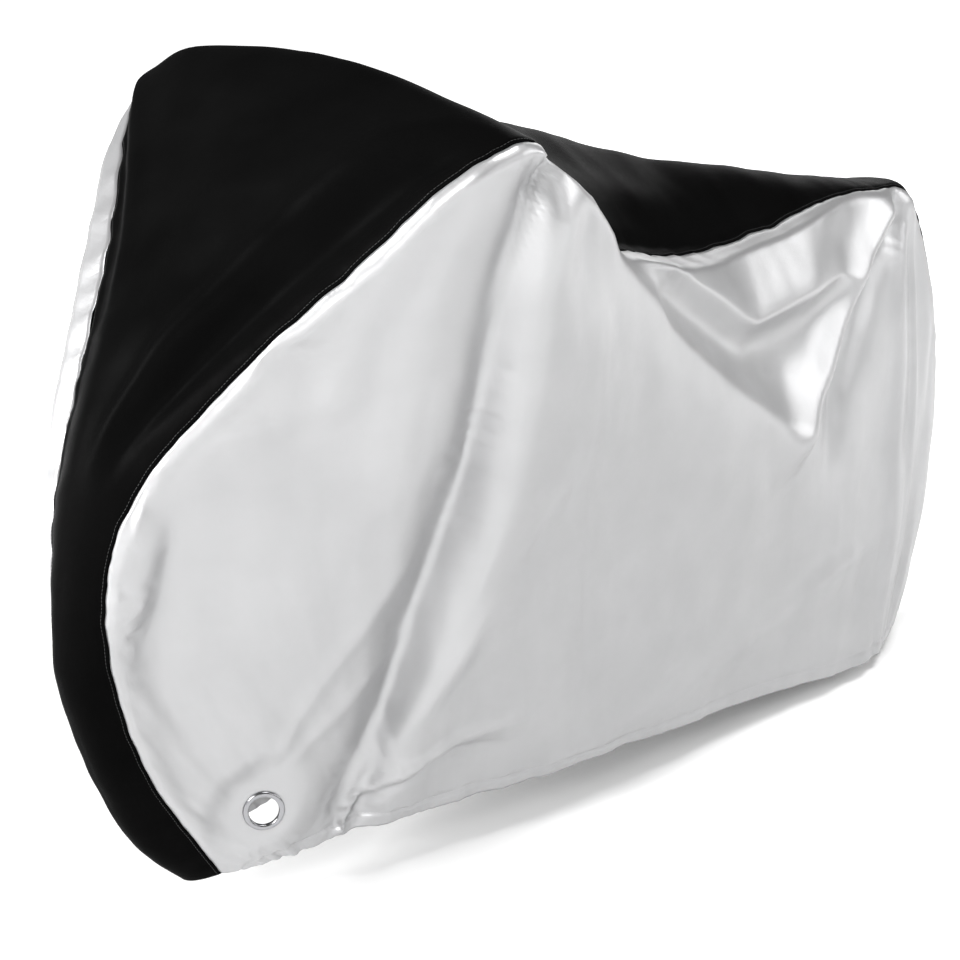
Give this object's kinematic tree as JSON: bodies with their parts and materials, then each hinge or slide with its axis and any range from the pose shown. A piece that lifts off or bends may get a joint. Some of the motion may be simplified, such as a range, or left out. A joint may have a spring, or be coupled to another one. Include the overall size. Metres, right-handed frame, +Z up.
{
  "type": "bicycle cover",
  "caption": "Fitted cover draped over a parked bicycle, with silver side panels, a black centre panel and metal lock eyelets low at the front.",
  "frame": {"origin": "under the top of the cover, on the inner face of the centre panel's ridge over the middle of the handlebar, where the bicycle holds it up", "axes": "+X from the front wheel to the rear wheel, +Y to the bicycle's right hand side, +Z up; the ground is 1.073 m below the origin"},
  "size_m": [1.7354, 0.8475, 1.0479],
  "materials": {
    "silver_cloth": "silver coated polyester with a satin sheen",
    "black_cloth": "black polyester, softly matt",
    "eyelet_metal": "nickel plated, polished"
  },
  "bodies": {
    "root": {"centre_panel": "black_cloth", "side_panel_left": "silver_cloth", "side_panel_right": "silver_cloth", "eyelet_strip_left": "silver_cloth", "eyelet_strip_right": "silver_cloth", "eyelet_left": "eyelet_metal", "eyelet_right": "eyelet_metal"}
  },
  "joints": []
}
